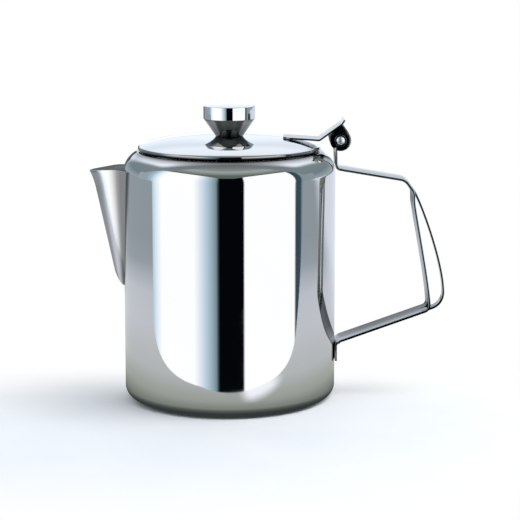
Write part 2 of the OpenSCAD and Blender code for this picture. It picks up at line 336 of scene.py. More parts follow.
verts = []
for i in range(ring_steps + 1):
    bearing = ring_from + (ring_to - ring_from) * i / ring_steps
    verts += [around(bearing, ring_distance, ring_bottom), around(bearing, ring_distance, panel_top(bearing))]
stage_mesh("panel_ring", verts, band_faces(verts), panel_paint, **reflected_only)
verts = [around(bearing, ring_distance, h)
         for bearing in range(ring_from, skirt_to, 4) for h in (skirt_bottom, ring_bottom)]
stage_mesh("panel_skirt", verts, band_faces(verts), panel_paint, **reflected_only)
print("upper edge at most", round(panel_top(right_panel), 2), "m high")

# %% [markdown]
# A pot's left edge mirrors what stands behind it on the left, at a flat angle. One small dark
# card there draws the thin dark outline that keeps the shoulder from melting into the white
# room. In a studio such a card is called a flag.

# %% Flag behind the left edge
flag_near = -0.070
flag_far = -0.115
flag_back = 0.13
flag_low = 0.03
flag_high = 0.158
flag_paint, tree = new_material("flag_paint")
level = remap(tree, separated(tree, object_place(tree))["Z"], 0.0, 0.24, 0.0, 1.0)
flag_tone = ramp(tree, level, [(0.0, display(186, 194, 202)), (0.25, display(146, 156, 162)),
                               (0.45, display(92, 104, 108)), (0.7, display(56, 66, 70))])
close_material(tree, glow(tree, flag_tone, 1 / steel_tone))
flag = [(x, flag_back, z) for x, z in ((flag_near, flag_low), (flag_far, flag_low),
                                       (flag_far, flag_high), (flag_near, flag_high))]
stage_mesh("flag", flag, [(0, 1, 2, 3)], flag_paint, **reflected_only)
print("flag", flag_near, "to", flag_far)

# %% [markdown]
# The table is two meshes in one place. The camera sees a pale sheet that fades into the
# white room and darkens only under the pot. The steel sees a smaller, darker table top whose
# front edge is close to the pot: the curved lower end of the bright bands is that edge.

# %% Table for the reflections
def curve(a, b, c, d, steps):
    """Points of a smooth curve from a to d, pulled towards b and c."""
    a, b, c, d = (Vector(p) for p in (a, b, c, d))
    shares = [i / steps for i in range(steps + 1)]
    return [a * (1 - s) ** 3 + b * 3 * (1 - s) ** 2 * s + c * 3 * (1 - s) * s * s + d * s ** 3
            for s in shares]


table_paint, tree = new_material("table_paint")
spot = separated(tree, object_place(tree))
east = spot["X"]
north = spot["Y"]
squares = maths(tree, "ADD", maths(tree, "POWER", east, 2.0), maths(tree, "POWER", north, 2.0))
reach = maths(tree, "SQRT", squares)
# Painted shadow and light on the table that the steel mirrors: darkest right round the pot's foot, lighter at
# the back right, and a painted reflection of the right panel in front.
radial = ramp(tree, maths(tree, "DIVIDE", reach, 0.6), [
    (0.098, display(50, 54, 55)), (0.106, display(82, 85, 81)), (0.122, display(118, 122, 116)),
    (0.16, display(152, 156, 150)), (0.24, display(177, 180, 180)), (0.42, display(189, 192, 198)),
    (0.60, display(186, 190, 197)), (0.80, display(146, 155, 161)), (1.0, display(140, 148, 155))])
lit_back = maths(tree, "MULTIPLY", remap(tree, north, 0.15, 0.40, 0.0, 1.0, smooth=True),
                 remap(tree, east, -0.05, 0.10, 0.0, 1.0, smooth=True))
glint = maths(tree, "MULTIPLY", remap(tree, east, 0.012, 0.034, 0.0, 1.0, smooth=True),
              remap(tree, east, 0.07, 0.12, 1.0, 0.0, smooth=True))
glint = maths(tree, "MULTIPLY", glint, remap(tree, north, -0.084, -0.106, 0.0, 0.9, smooth=True))
tone = blend(tree, glint, blend(tree, lit_back, radial, display(204, 210, 219)), display(246, 247, 252))
close_material(tree, glow(tree, tone, 1 / steel_tone))
table_far = 4.0
front = [Vector((-table_far, -0.03))]
front += curve((-0.30, -0.042), (-0.19, -0.044), (-0.125, -0.098), (-0.05, -0.116), 24)
front += curve((0.05, -0.115), (0.11, -0.108), (0.15, -0.082), (0.26, -0.092), 24)
front += [Vector((table_far, -0.11)), Vector((table_far, table_far)), Vector((-table_far, table_far))]
table_edge = [(p.x, p.y, 0) for p in front]
stage_mesh("table_top", table_edge, [tuple(range(len(table_edge)))], table_paint, **reflected_only)
print("table edge points", len(table_edge))

# %% [markdown]
# The camera's own floor is cloth-like close to the pot, where it takes a soft shadow, and
# turns into plain white light further off, so that no horizon shows. The change follows a
# flattened circle that lies a little in front of the pot.

# %% Floor for the camera
shade_centre = (-0.02, -0.085)
shade_stretch = 0.42
shade_from = 0.045
shade_to = 0.15
half_floor = 6.0
floor_paint, tree = new_material("floor_paint")
place = object_place(tree)
mottle = node(tree, "ShaderNodeTexNoise", Vector=place, Scale=18.0, Detail=3.0).outputs["Fac"]
cloth_tone = ramp(tree, mottle, [(0.3, (0.86, 0.88, 0.93)), (0.7, (0.90, 0.91, 0.95))])
cloth = node(tree, "ShaderNodeBsdfDiffuse", Color=cloth_tone)
spot = separated(tree, place)
across = maths(tree, "MULTIPLY", maths(tree, "SUBTRACT", spot["X"], shade_centre[0]), shade_stretch)
along = maths(tree, "SUBTRACT", spot["Y"], shade_centre[1])
apart = maths(tree, "ADD", maths(tree, "POWER", across, 2.0), maths(tree, "POWER", along, 2.0))
fade = remap(tree, maths(tree, "POWER", apart, 0.5), shade_from, shade_to, 0.0, 1.0, smooth=True)
bright = glow(tree, (1, 1, 1, 1))
mixed = node(tree, "ShaderNodeMixShader", i0=fade, i1=cloth.outputs[0], i2=bright)
close_material(tree, mixed.outputs[0])
floor = [(x * half_floor, y * half_floor, 0) for x, y in ((-1, -1), (1, -1), (1, 1), (-1, 1))]
stage_mesh("floor", floor, [(0, 1, 2, 3)], floor_paint, glossy=False)

# %% [markdown]
# One broad lamp to the right gives the floor its soft shadow. The steel doesn't mirror it:
# a lamp in a mirror would be one more bright patch that the panels already give.

# %% Soft lamp over the table
def lamp(name, place, target, size, watts):
    """A rectangular lamp that shines on the target and is seen neither directly nor in metal."""
    data = bpy.data.lights.new(name, "AREA")
    data.shape = "RECTANGLE"
    data.size, data.size_y = size
    data.energy = watts
    made = new_object(name, data)
    made.location = place
    made.rotation_euler = (Vector(target) - Vector(place)).to_track_quat("-Z", "Y").to_euler()
    made.visible_glossy = False
    made.visible_camera = False
    return made


overhead = lamp("overhead", (0.55, -0.25, 1.3), (0, 0, 0.05), (0.9, 0.9), 16)
print("lamp", overhead.name, overhead.data.energy, "W")

# %% [markdown]
# Polished steel is a metal with very low roughness. What makes it real is small: faint rings
# left by the polishing wheel, smudges where roughness rises a little, and soft waviness of
# the sheet, which bends the reflected edges.

# %% Smudges and polishing marks
def smudged(tree, place, rough, smudge):
    """Roughness that rises from rough by smudge where fingers and cloths have been."""
    smears = node(tree, "ShaderNodeTexNoise", Vector=place, Scale=55.0, Detail=5.0, Roughness=0.62)
    clouds = node(tree, "ShaderNodeTexNoise", Vector=place, Scale=14.0, Detail=2.0)
    blotch = maths(tree, "MULTIPLY", smears.outputs["Fac"], clouds.outputs["Fac"])
    return remap(tree, blotch, 0.18, 0.42, rough, rough + smudge, smooth=True), clouds.outputs["Fac"]


def polish_marks(tree, place, grain, grain_bump, wave_bump, axis):
    """A normal with fine marks packed closely along one axis, and a slow waviness of the sheet."""
    squeeze = tuple(grain if letter == axis else 6 for letter in "XYZ")
    stretched = node(tree, "ShaderNodeMapping", Vector=place, Scale=squeeze).outputs[0]
    marks = node(tree, "ShaderNodeTexNoise", Vector=stretched, Scale=1.0, Detail=4.0, Roughness=0.7)
    waves = node(tree, "ShaderNodeTexNoise", Vector=place, Scale=16.0, Detail=1.0)
    fine = node(tree, "ShaderNodeBump", Strength=grain_bump, Distance=0.00002, Height=marks.outputs["Fac"])
    broad = node(tree, "ShaderNodeBump", Strength=wave_bump, Distance=0.0006,
                 Height=waves.outputs["Fac"], Normal=fine.outputs[0])
    return broad.outputs[0]


print("marks by", smudged.__name__, "and", polish_marks.__name__)

# %% Recipe for steel
def steel(name, colour, rough, smudge, grain, grain_bump, wave_bump, axis="Z", painted_shade=None,
          shade_colour=(0.004, 0.005, 0.006)):
    """Polished steel. The painted-shade mask, if given, builds the share of its colour that stays; the rest
    is painted dark, as shade.
    """
    material, tree = new_material(name)
    place = object_place(tree)
    roughness, clouds = smudged(tree, place, rough, smudge)
    tint = ramp(tree, clouds, [(0.3, tuple(c * 0.98 for c in colour)), (0.7, colour)])
    # Painted shade: where the mask is low, the colour is mixed towards a near-black shade colour.
    if painted_shade:
        tint = blend(tree, painted_shade(tree, place), shade_colour, tint)
    normal = polish_marks(tree, place, grain, grain_bump, wave_bump, axis)
    shader = node(tree, "ShaderNodeBsdfPrincipled", Metallic=1.0, Roughness=roughness,
                  Base_Color=tint, Normal=normal)
    close_material(tree, shader.outputs[0])
    return material


print("one recipe:", steel.__name__)

# %% Painted shade by place
def shade_by_height(stops):
    """Painted shade that follows the height: (height, share of the colour that stays)."""
    low, high = stops[0][0], stops[-1][0]

    def build(tree, place):
        share = remap(tree, separated(tree, place)["Z"], low, high, 0.0, 1.0)
        return ramp(tree, share, [((h - low) / (high - low), (v, v, v)) for h, v in stops])
    return build


def shade_across_spout(stops):
    """Painted shade across the spout, measured from 0 at its slanting front edge to 1 at the body's wall."""
    def build(tree, place):
        spot = separated(tree, place)
        out = maths(tree, "MULTIPLY", maths(tree, "SUBTRACT", spot["Z"], spout_foot), spout_slope)
        behind_front = maths(tree, "ADD", spot["X"], maths(tree, "ADD", out, body_r))
        return ramp(tree, maths(tree, "DIVIDE", behind_front, out), [(at, (v, v, v)) for at, v in stops])
    return build


# Shows the two builders of painted shade.
print("wear by", shade_by_height.__name__, "and", shade_across_spout.__name__)

# %% [markdown]
# The mirror finish is one recipe for body, lid and knob. Its colour carries painted shade: it
# turns dark in the groove under the lid's bead, on the bead's lower half and round the knob's
# waist, where the pot lies in shadow or mirrors dark surroundings. Heights are measured from the
# neck and from the knob's band, so the painted shade stays in its groove if the pot is made bigger.

# %% Mirror finishes
polished = (steel_tone, steel_tone * 1.005, steel_tone * 1.012)
# Painted shade: the body's colour darkens over the last 2.4 mm below the neck's top, in the groove under the
# lid's lip.
mirror_steel = steel("mirror_steel", polished, 0.025, 0.04, 900, 0.05, 0.02, painted_shade=shade_by_height([
    (neck_top - 2.4 * MM, 1.0), (neck_top - 1.1 * MM, 0.6), (neck_top - 0.4 * MM, 0.2)]))
# Painted shade: the lid's colour is nearly black on the bead's lower half and lightens towards its top.
lid_steel = steel("lid_steel", polished, 0.03, 0.04, 30, 0.05, 0.02, painted_shade=shade_by_height([
    (neck_top + 0.6 * MM, 0.02), (neck_top + 1.5 * MM, 0.12),
    (neck_top + 2.2 * MM, 0.5), (neck_top + 3.0 * MM, 1.0)]))
# Painted shade and dark reflection: below its band the knob's colour is dark, darkest at its foot.
knob_steel = steel("knob_steel", polished, 0.03, 0.03, 900, 0.05, 0.02, painted_shade=shade_by_height([
    (knob_low.z, 0.06), (band_low - 6.0 * MM, 0.20), (band_low - 1.6 * MM, 0.40),
    (band_low - 0.3 * MM, 0.36), (band_low + 0.2 * MM, 1.0)]))
print("mirror finishes", mirror_steel.name, lid_steel.name, knob_steel.name)

# %% [markdown]
# The spout is only brushed, so its bands are soft. Its colour carries painted reflection bands: a
# little darker at the front edge, full across the middle and painted shade beside the wall. Its
# inside was never polished at all. The handle, bracket and pin are tumbled parts with a greyer
# shine; the handle's lower arm under the grip carries painted shade.

# %% Duller finishes
# Painted reflection bands and painted shade: the spout's colour is darker at its front edge, full across the
# middle and darkest beside the wall.
spout_painted_bands = shade_across_spout([
    (0.0, 0.42), (0.2, 0.5), (0.36, 0.95), (0.52, 1.0), (0.68, 0.72), (0.84, 0.3), (0.95, 0.2)])
satin_steel = steel("satin_steel", (0.76, 0.765, 0.77), 0.10, 0.04, 1400, 0.04, 0.02, axis="Y",
                    painted_shade=spout_painted_bands, shade_colour=(0.02, 0.022, 0.025))
inner_steel = steel("inner_steel", (0.30, 0.31, 0.31), 0.34, 0.10, 300, 0.10, 0.05)
# Painted shade: the handle's colour darkens on the lower arm under the grip, darkest between 36 and 49 mm
# high, and is full from 56 mm up.
handle_painted_shade = shade_by_height([
    (30 * MM, 0.45), (36 * MM, 0.16), (49 * MM, 0.2), (56 * MM, 0.7), (60 * MM, 1.0)])
handle_steel = steel("handle_steel", (0.42, 0.435, 0.435), 0.09, 0.05, 700, 0.01, 0.02, axis="Y",
                     painted_shade=handle_painted_shade)
bracket_steel = steel("bracket_steel", (0.20, 0.22, 0.23), 0.10, 0.05, 700, 0.0, 0.01, axis="Y")
pin_steel = steel("pin_steel", (0.90, 0.91, 0.92), 0.30, 0.05, 300, 0.0, 0.01)
fastener_steel = steel("fastener_steel", (0.60, 0.60, 0.61), 0.22, 0.08, 300, 0.1, 0.05)
print("materials", [m.name for m in bpy.data.materials])


# %% [markdown]
# A drawn or spun piece is a turned outline. The outline is a closed loop of points, dense
# where it bends, and `turned_mesh` spins it into a mesh whose faces are fine enough that
# the mirror shows no facets.

# %% Outline helpers
def arc(centre, radius, start, end, steps):
    """Points of an arc, angles in degrees."""
    points = []
    for i in range(steps + 1):
        a = math.radians(start + (end - start) * i / steps)
        points.append((centre[0] + radius * math.cos(a), centre[1] + radius * math.sin(a)))
    return points


def bend(a, b, c, radius, steps=10):
    """Points that round the corner b of the line a, b, c."""
    a, b, c = Vector(a), Vector(b), Vector(c)
    u, v = (a - b).normalized(), (c - b).normalized()
    half = u.angle(v) / 2
    centre = b + (u + v).normalized() * radius / math.sin(half)
    start, end = b + u * radius / math.tan(half) - centre, b + v * radius / math.tan(half) - centre
    first = math.degrees(math.atan2(start.y, start.x))
    turn = math.degrees(math.atan2(end.y, end.x)) - first
    turn += 360 if turn < -180 else -360 if turn > 180 else 0
    return arc(centre, radius, first, first + turn, steps)


def spaced(points, gap):
    """The same line with no two points further apart than gap."""
    out = [Vector(points[0])]
    for p in points[1:]:
        p = Vector(p)
        count = max(1, math.ceil((p - out[-1]).length / gap))
        start = out[-1]
        out += [start.lerp(p, i / count) for i in range(1, count + 1)]
    return out


def beside(points, distance):
    """The line moved sideways by a distance, to its left as it runs."""
    out = []
    for i, p in enumerate(points):
        h = (Vector(points[min(i + 1, len(points) - 1)]) - Vector(points[max(i - 1, 0)])).normalized()
        out.append((p[0] - distance * h.y, p[1] + distance * h.x))
    return out


print("points in a quarter round", len(arc((0, 0), 1, 0, 90, 8)))

# %% [markdown]
# Turned pieces repeat one outline round an axis, which is a rule, so Geometry Nodes make
# them: a flat grid has one side bent along the outline and the other wrapped round the axis.
# The finest bends need no more points than the outline has, and one tree serves all of them.
# Its result is made a plain mesh, because the export takes plain meshes.

# %% From mesh to piece
def link(name, mesh, material, smooth_angle=40):
    """The object for a mesh, with its material, and smooth except at sharp edges."""
    made = new_object(name, mesh)
    mesh.materials.clear()
    mesh.materials.append(material)
    mesh.shade_smooth()
    mesh.set_sharp_from_angle(angle=math.radians(smooth_angle))
    return made


def plain_mesh(name, bm):
    """The mesh that a bmesh holds; the bmesh itself is given up."""
    mesh = bpy.data.meshes.new(name)
    bm.to_mesh(mesh)
    bm.free()
    return mesh


print("meshes by", plain_mesh.__name__, "and", link.__name__)

# %% Geometry Nodes helpers
def new_tree(name, **sockets):
    """A Geometry Nodes tree with named inputs; gives the tree and its input sockets."""
    tree = bpy.data.node_groups.new(name, "GeometryNodeTree")
    tree.interface.new_socket("Geometry", in_out="OUTPUT", socket_type="NodeSocketGeometry")
    for label, kind in dict(Geometry="Geometry", Material="Material", **sockets).items():
        tree.interface.new_socket(label, in_out="INPUT", socket_type="NodeSocket" + kind)
    return tree, node(tree, "NodeGroupInput").outputs


def close_tree(tree, given, shape):
    """Makes instances real, gives them the material and sends them out."""
    plain = node(tree, "GeometryNodeRealizeInstances", Geometry=shape)
    painted = node(tree, "GeometryNodeSetMaterial", Geometry=plain.outputs[0], Material=given["Material"])
    node(tree, "NodeGroupOutput", Geometry=painted.outputs[0])


def grown(name, tree, source, **values):
    """The plain mesh that a tree makes from a source mesh and named values."""
    made = new_object(name, source)
    grow = made.modifiers.new("grow", "NODES")
    grow.node_group = tree
    for item in tree.interface.items_tree:
        if item.in_out == "INPUT" and item.name in values:
            grow[item.identifier] = values[item.name]
    graph = bpy.context.evaluated_depsgraph_get()
    mesh = bpy.data.meshes.new_from_object(made.evaluated_get(graph))
    bpy.data.objects.remove(made)
    return mesh


print("trees by", new_tree.__name__, "and", close_tree.__name__)

# %% Turning tree
def turning_tree():
    """A grid whose one side follows the outline and whose other side goes round the axis."""
    tree, given = new_tree("turning", Steps="Int", Closed="Int")
    count = node(tree, "GeometryNodeAttributeDomainSize", Geometry=given["Geometry"]).outputs["Point Count"]
    columns = maths(tree, "ADD", given["Steps"], 1.0)
    sheet = node(tree, "GeometryNodeMeshGrid", Vertices_X=maths(tree, "ADD", count, given["Closed"]),
                 Vertices_Y=columns)
    index = node(tree, "GeometryNodeInputIndex").outputs[0]
    row = maths(tree, "FLOOR", maths(tree, "DIVIDE", maths(tree, "ADD", index, 0.5), columns))
    sample = tree.nodes.new("GeometryNodeSampleIndex")
    sample.data_type = "FLOAT_VECTOR"
    whole, value, at = shown(sample.inputs)
    feed(tree, whole, given["Geometry"])
    feed(tree, value, node(tree, "GeometryNodeInputPosition").outputs[0])
    feed(tree, at, maths(tree, "MODULO", row, count))
    spot = separated(tree, shown(sample.outputs)[0])
    column = maths(tree, "SUBTRACT", index, maths(tree, "MULTIPLY", row, columns))
    angle = maths(tree, "MULTIPLY", column, maths(tree, "DIVIDE", 2 * math.pi, given["Steps"]))
    place = node(tree, "ShaderNodeCombineXYZ", Z=spot["Z"],
                 X=maths(tree, "MULTIPLY", spot["X"], maths(tree, "COSINE", angle)),
                 Y=maths(tree, "MULTIPLY", spot["X"], maths(tree, "SINE", angle)))
    moved = node(tree, "GeometryNodeSetPosition", Geometry=sheet.outputs["Mesh"], Position=place.outputs[0])
    merged = node(tree, "GeometryNodeMergeByDistance", Geometry=moved.outputs[0], Distance=1e-6)
    close_tree(tree, given, merged.outputs[0])
    return tree


turning = turning_tree()
print("tree", turning.name, "with", len(turning.nodes), "nodes")


# %% Turned pieces
def turned_mesh(name, outline, material, centre=(0, 0, 0), axis="Z", steps=192, closed=True):
    """Turns (radius, height) points about an axis through centre."""
    line = bpy.data.meshes.new(name + "_line")
    line.from_pydata([(r, 0, h) for r, h in outline], [(i, i + 1) for i in range(len(outline) - 1)], [])
    mesh = grown(name, turning, line, Steps=steps, Closed=int(closed), Material=material)
    bm = bmesh.new()
    bm.from_mesh(mesh)
    bmesh.ops.delete(bm, geom=[e for e in bm.edges if not e.link_faces], context="EDGES")
    bmesh.ops.recalc_face_normals(bm, faces=bm.faces)
    if axis == "Y":
        for v in bm.verts:
            v.co = Vector((v.co.x, v.co.z, -v.co.y))
    bmesh.ops.translate(bm, verts=bm.verts, vec=Vector(centre))
    bm.to_mesh(mesh)
    bm.free()
    return mesh


print("turned pieces by", turned_mesh.__name__)

# %% [markdown]
# The body is drawn from one disc: a standing ring, a raised middle, the straight wall, a
# round shoulder, a narrow ledge and a lip turned down into the neck. Spinning its middle
# line and giving it thickness on both sides keeps every radius of the real sheet.

# %% Body
bottom_round = 6 * MM
shoulder_r = 13 * MM
shoulder_turn = 62
foot_in = 46 * MM
base_z = 1.6 * MM
neck_r = 46 * MM
half_t = sheet_t / 2
turn = math.radians(shoulder_turn)
shoulder_end = (body_r - shoulder_r + (shoulder_r - half_t) * math.cos(turn),
                wall_top + (shoulder_r - half_t) * math.sin(turn))
ledge_z = neck_top - half_t
ledge_out = (shoulder_end[0] - 0.8 * MM * math.sin(turn), ledge_z)
neck_corner = (neck_r + half_t, ledge_z)
lip_end = (neck_corner[0], ledge_z - 4 * MM)
middle = [(0, base_z), (foot_in - 3 * MM, base_z)]
middle += bend(middle[0], (foot_in - 2 * MM, base_z), (foot_in, half_t), 1.5 * MM, 5)
middle += bend((foot_in - 2 * MM, base_z), (foot_in + 0.3 * MM, half_t), (body_r, half_t), 1.5 * MM, 5)
middle += arc((body_r - bottom_round, bottom_round), bottom_round - half_t, -90, 0, 18)
middle += arc((body_r - shoulder_r, wall_top), shoulder_r - half_t, 0, shoulder_turn, 32)
middle += bend(shoulder_end, ledge_out, neck_corner, 1.6 * MM, 8)
middle += bend(ledge_out, neck_corner, lip_end, 1.2 * MM, 10) + [lip_end]
middle = spaced(middle, 4 * MM)
outline = beside(middle, -half_t) + beside(middle, half_t)[::-1]
body_mesh = turned_mesh("body", outline, mirror_steel, steps=256)
body = link("body", body_mesh, mirror_steel)
print("body outline points", len(outline))

# %% [markdown]
# Behind the spout the wall is pierced with rows of holes that hold the leaves back. Rows
# follow a rule, so Geometry Nodes place a small cylinder for each hole, and one Boolean cuts
# them all. The cut lies inside the spout, so the wall that one sees keeps its clean mesh.

# %% Strainer holes
hole_corners = 24


def strainer_tree():
    """Rows of small cylinders on the wall, every other row shifted, within a widening outline."""
    tree, given = new_tree("strainer", Rows="Int", Columns="Int", Pitch="Float", Radius="Float", Low="Float",
                           Widening="Float", Foot="Float", Wall="Float")
    step = maths(tree, "MULTIPLY", given["Pitch"], 0.87)
    wide = maths(tree, "MULTIPLY", given["Pitch"], maths(tree, "SUBTRACT", given["Columns"], 1.0))
    last = maths(tree, "SUBTRACT", given["Rows"], 1.0)
    sheet = node(tree, "GeometryNodeMeshGrid", Size_X=wide, Size_Y=maths(tree, "MULTIPLY", step, last),
                 Vertices_X=given["Columns"], Vertices_Y=given["Rows"])
    spot = separated(tree, node(tree, "GeometryNodeInputPosition").outputs[0])
    from_middle = maths(tree, "DIVIDE", spot["Y"], step)
    row = maths(tree, "ROUND", maths(tree, "ADD", from_middle, maths(tree, "MULTIPLY", last, 0.5)))
    half_pitch = maths(tree, "MULTIPLY", given["Pitch"], 0.5)
    shift = maths(tree, "MULTIPLY", maths(tree, "MODULO", row, 2.0), half_pitch)
    place = node(tree, "ShaderNodeCombineXYZ", X=maths(tree, "MULTIPLY", given["Wall"], -1.0),
                 Y=maths(tree, "ADD", spot["X"], shift),
                 Z=maths(tree, "ADD", given["Low"], maths(tree, "MULTIPLY", row, step)))
    moved = node(tree, "GeometryNodeSetPosition", Geometry=sheet.outputs["Mesh"], Position=place.outputs[0])
    reach = maths(tree, "MULTIPLY", maths(tree, "SUBTRACT", spot["Z"], given["Foot"]), given["Widening"])
    beyond = maths(tree, "GREATER_THAN", maths(tree, "ADD", maths(tree, "ABSOLUTE", spot["Y"]),
                                               maths(tree, "MULTIPLY", given["Radius"], 2.4)), reach)
    kept = node(tree, "GeometryNodeDeleteGeometry", Geometry=moved.outputs[0], Selection=beyond)
    hole = node(tree, "GeometryNodeMeshCylinder", Vertices=hole_corners, Radius=given["Radius"], Depth=4 * MM)
    holes = node(tree, "GeometryNodeInstanceOnPoints", Points=kept.outputs[0], Instance=hole.outputs["Mesh"],
                 Rotation=(0, math.pi / 2, 0))
    close_tree(tree, given, holes.outputs[0])
    return tree


print("corners of each hole", hole_corners)

# %% Cut the holes
def baked(obj):
    """The object's mesh with its modifiers applied, and the modifiers gone."""
    graph = bpy.context.evaluated_depsgraph_get()
    mesh = bpy.data.meshes.new_from_object(obj.evaluated_get(graph))
    obj.modifiers.clear()
    obj.data = mesh
    return obj


cutter_mesh = grown("holes", strainer_tree(), bpy.data.meshes.new("empty"), Rows=7, Columns=9, Pitch=6 * MM,
                    Radius=1.6 * MM, Low=78 * MM, Widening=cheek_slope, Foot=cheek_foot, Wall=body_r,
                    Material=mirror_steel)
hole_count = len(cutter_mesh.vertices) // (2 * hole_corners)
cutter = new_object("cutter", cutter_mesh)
cut = body.modifiers.new("holes", "BOOLEAN")
cut.operation = "DIFFERENCE"
cut.solver = "EXACT"
cut.object = cutter
baked(body)
bpy.data.objects.remove(cutter)
body.data.shade_smooth()
body.data.set_sharp_from_angle(angle=math.radians(40))
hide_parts("pot_body")
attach(body, "pot")
print("strainer holes", hole_count, "body faces", len(body.data.polygons))

# %% [markdown]
# The lid is a flat-topped dome that runs into a full round bead. The dome's height follows a
# power of the radius, which is flatter in the middle than a circle and steeper at the edge.

# %% Lid
bead_r = 1.45 * MM
bead_x = lid_r - bead_r
bead_z = neck_top + 0.35 * MM + bead_r
dome_rise = 4.8 * MM
dome_power = 3.6
hole_r = 2.1 * MM
lid_top = bead_z + bead_r + dome_rise


def dome_at(r):
    """Height of the lid's outside at a radius."""
    return lid_top - dome_rise * (abs(r) / bead_x) ** dome_power


lid_steps = 60
rim = bead_x - 0.6 * MM
radii = [hole_r + (rim - hole_r) * i / lid_steps for i in range(lid_steps + 1)]
outline = [(r, dome_at(r)) for r in radii] + arc((bead_x, bead_z), bead_r, 100, -190, 36)
outline += [(r, dome_at(r) - sheet_t) for r in reversed(radii)]
lid = link("lid", turned_mesh("lid", outline, lid_steel, steps=256), lid_steel)
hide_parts("lid_cover")
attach(lid, "lid")
print("lid top", round(lid_top, 5))

# %% [markdown]
# The knob is a spun cup with a disc pressed into its mouth. Its corners are turned to small
# radii, which catch thin lines of light; a knife edge would look like a drawing.

# %% Knob
knob_h = knob_high.z - knob_low.z
knob_r = knob_high.x
foot_r = 7.6 * MM
cone_r = 12.8 * MM
cone_h = 7.7 * MM
wall = 1 * MM
floor_h = 1.6 * MM


def rounded(points, radius, steps=5):
    """A closed outline whose corners are rounded; a corner may carry its own radius."""
    out = []
    count = len(points)
    for i, p in enumerate(points):
        before, after = points[i - 1], points[(i + 1) % count]
        own = p[2] * MM if len(p) > 2 else radius
        out += bend(before[:2], p[:2], after[:2], own, steps) if own > 0 else [p[:2]]
    return out


screw_hole = 2.03 * MM
bore_r = knob_r - wall
seat_r = bore_r - 0.5 * MM
seat_h = knob_h - 1.5 * MM
cup = [(foot_r, 0, 0.3), (cone_r, cone_h, 0.5), (knob_r, step_h, 0.5),
       (knob_r, knob_h, 0.4), (bore_r, knob_h, 0.15), (bore_r, seat_h, 0),
       (seat_r, seat_h, 0), (seat_r, step_h + 0.4 * MM, 0),
       (cone_r - wall - 0.3 * MM, cone_h + 0.4 * MM, 0), (foot_r - wall, floor_h, 0),
       (screw_hole, floor_h, 0), (screw_hole, 0, 0)]
outline = [(x, z + knob_low.z) for x, z in rounded(cup, 0)]
knob = link("knob", turned_mesh("knob", outline, knob_steel, steps=160), knob_steel)
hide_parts("knob_shell")
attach(knob, "lid")
print("knob from", round(knob_low.z, 4), "to", round(knob_high.z, 4))

# %% Knob cap and fasteners
cap_low, cap_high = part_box("knob_cap")
cap_r = cap_high.x
crown = 0.5 * MM
cap_edge = cap_high.z - crown
outline = [(0, cap_low.z), (cap_r, cap_low.z)]
outline += [(cap_r, cap_edge - 0.15 * MM), (cap_r - 0.15 * MM, cap_edge)]
outline += [(cap_r * (1 - i / 12), cap_edge + crown * (1 - (1 - i / 12) ** 2)) for i in range(1, 13)]
cap = link("knob_cap_disc", turned_mesh("cap", outline, lid_steel, steps=160), lid_steel)
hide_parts("knob_cap")
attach(cap, "lid")
for name in ("knob_screw", "knob_washer", "knob_nut"):
    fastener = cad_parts[name]
    fastener.data.materials.clear()
    fastener.data.materials.append(fastener_steel)
print("cap radius", round(cap_r, 4), "top", round(cap_high.z, 4))

# %% [markdown]
# The spout is half a cone folded from sheet: a round nose in front, two flat cheeks that run
# back to the wall, and a rounded foot. Its section is a formula of height, so the mesh is a
# grid: one way round the section, the other up the front edge to the sloping rim.

# %% Section of the spout
spout_top = 127 * MM
spout_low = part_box("spout")[0].z
spout_round = 9.5 * MM
nose_share = 0.6
lip_flare = 1.4 * MM
lip_h = 10 * MM
rim_slope = math.tan(math.radians(6))
rim_pivot = 20 * MM
corner_drop = 1.6 * MM


def fullness(z):
    """The share of its full size that the spout has at a height: less only at its round foot."""
    s = max(0.0, spout_low + spout_round - z) / spout_round
    return math.sqrt(max(0.0004, 1 - s * s))


def nose(u):
    """How far a point of the section lies back from the front: round near 0, straight beyond."""
    return (math.sqrt(1 + (u / nose_share) ** 2) - 1) / (math.sqrt(1 + 1 / nose_share ** 2) - 1)


def spout_point(z, u):
    """A point of the shell at a height; u runs across it from -1 to 1."""
    half = cheek_slope * (z - cheek_foot) * fullness(z)
    out = spout_slope * (z - spout_foot) * fullness(z)
    flare = lip_flare * (max(0.0, z - spout_top + lip_h) / lip_h) ** 2 * (1 - min(1.0, abs(u))) ** 2
    wall_x = math.sqrt(body_r ** 2 - half ** 2)
    return Vector((-(body_r + out + flare) + (out + body_r - wall_x) * nose(u), half * u, z))


def rim_height(u):
    """Height of the rim: it rises a little towards the body, then its corners drop.

    The height sets how far out the shell is, and that sets the height, so a few rounds settle both.
    """
    z = spout_top
    for _ in range(8):
        z = spout_top + (spout_point(z, u).x + body_r + rim_pivot) * rim_slope
    return z - corner_drop * max(0.0, (abs(u) - 0.7) / 0.3) ** 2


print("rim height at the lip", round(rim_height(0), 4))

# %% Spout
def spout_shell():
    """The spout as a grid, with its rows closer together towards the round foot."""
    across = 72
    along = 72
    crowding = 1.6
    bm = bmesh.new()
    verts = []
    for j in range(across + 1):
        u = 2 * j / across - 1
        rise = rim_height(u) - spout_low
        verts.append([bm.verts.new(spout_point(spout_low + rise * (i / along) ** crowding, u))
                      for i in range(along + 1)])
    for j in range(across):
        for i in range(along):
            bm.faces.new((verts[j][i], verts[j + 1][i], verts[j + 1][i + 1], verts[j][i + 1]))
    bmesh.ops.remove_doubles(bm, verts=bm.verts, dist=1e-6)
    bmesh.ops.recalc_face_normals(bm, faces=bm.faces)
    if sum(f.normal.x * f.calc_area() for f in bm.faces) > 0:
        bmesh.ops.reverse_faces(bm, faces=bm.faces)
    return plain_mesh("spout", bm)


